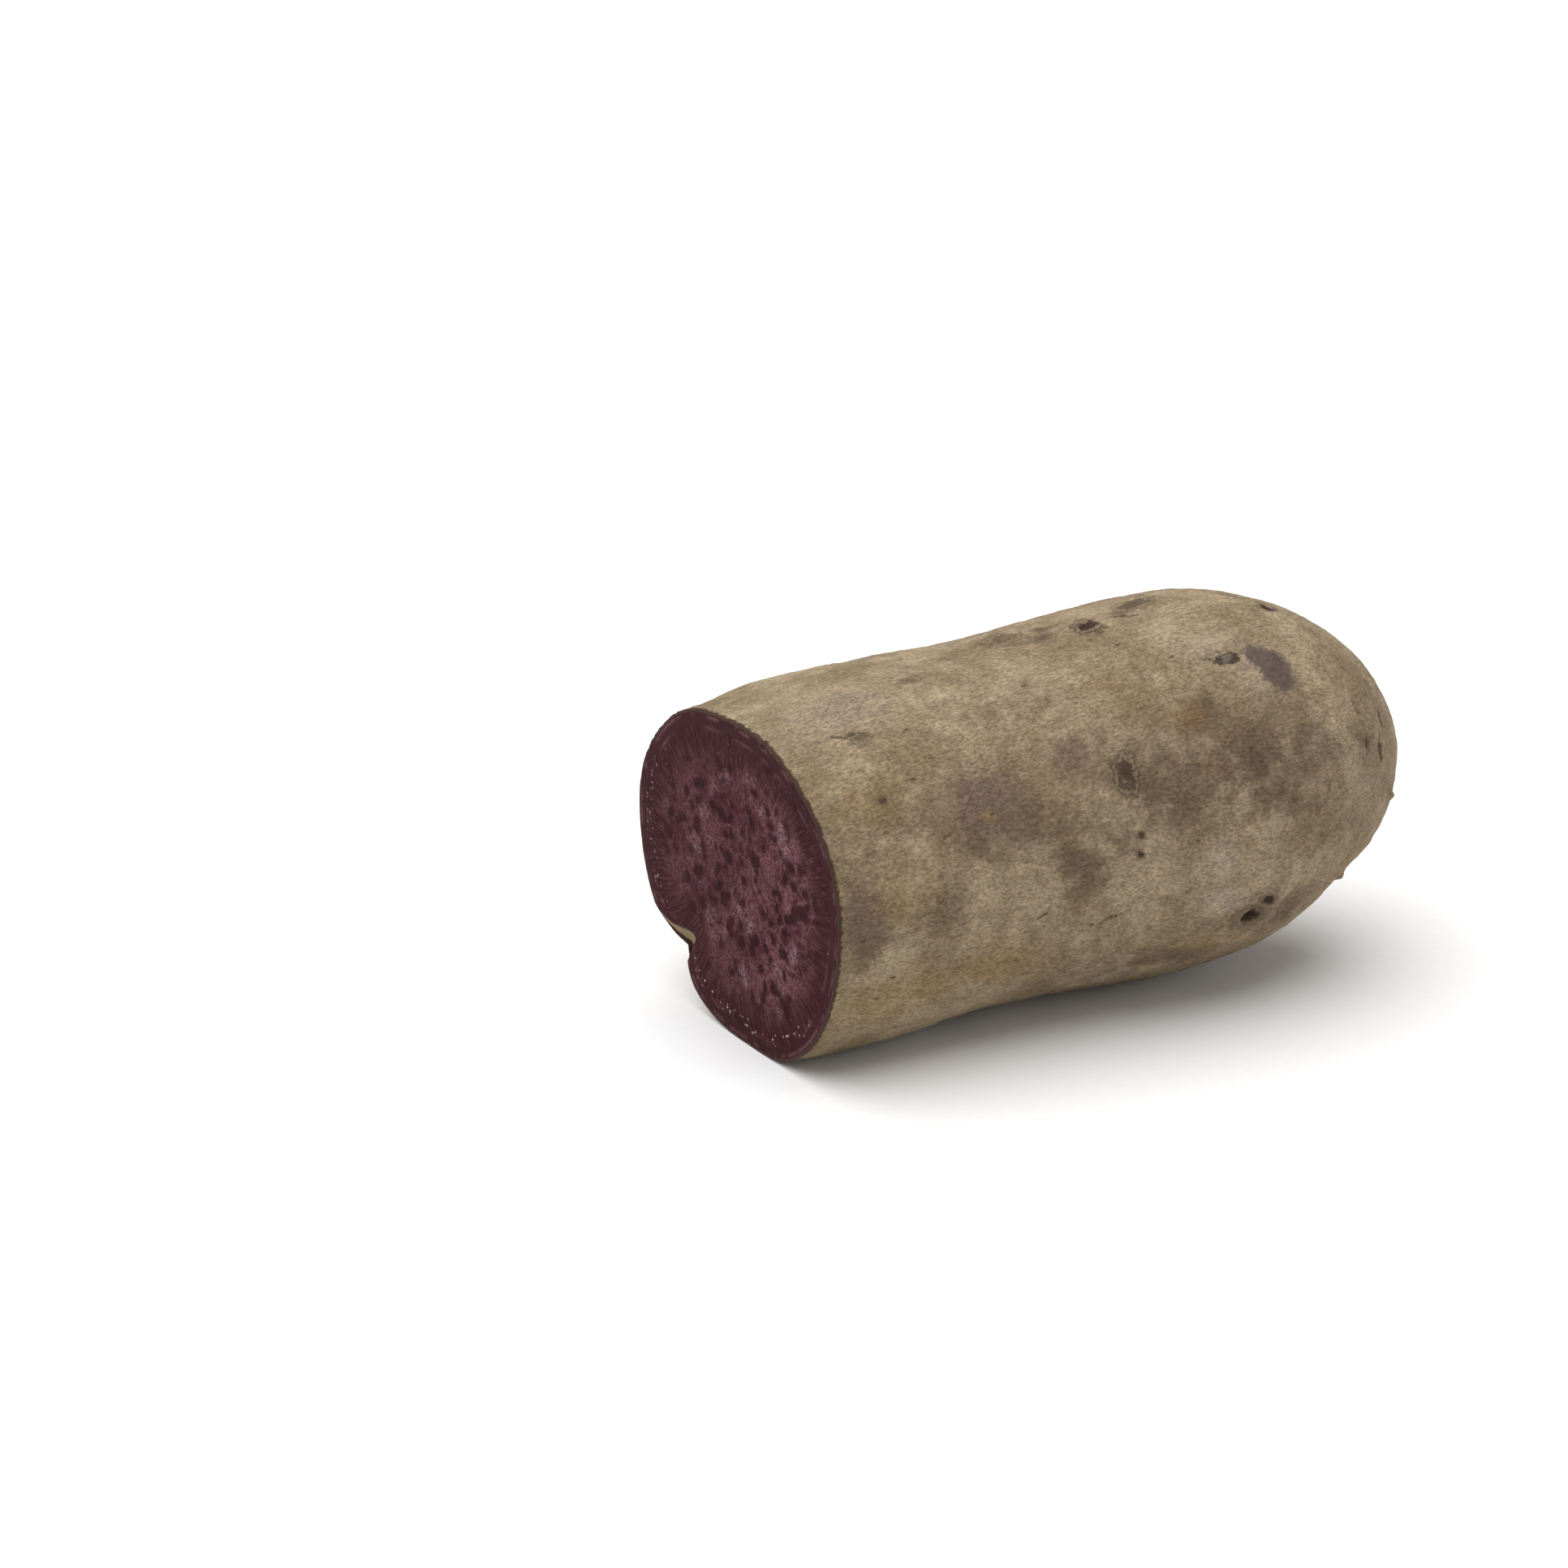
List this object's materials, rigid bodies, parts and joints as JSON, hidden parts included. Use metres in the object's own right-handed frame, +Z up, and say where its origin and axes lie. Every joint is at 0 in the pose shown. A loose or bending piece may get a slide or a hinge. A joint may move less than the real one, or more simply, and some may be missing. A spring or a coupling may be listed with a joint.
{
  "type": "purple sweet potato half",
  "caption": "Half of a purple sweet potato lying on its belly: a thick tapered barrel with one rounded end and a flat cut face.",
  "frame": {"origin": "centre of the bounding box in plan, on the surface that the root lies on", "axes": "+X from the cut face along the root to its rounded end, +Y to the far side, +Z up"},
  "size_m": [0.119, 0.0748, 0.0641],
  "materials": {
    "root": "matte, dry and leathery skin; the cut face is damp purple flesh"
  },
  "bodies": {
    "root": {"sweet_potato": "root"}
  },
  "joints": []
}
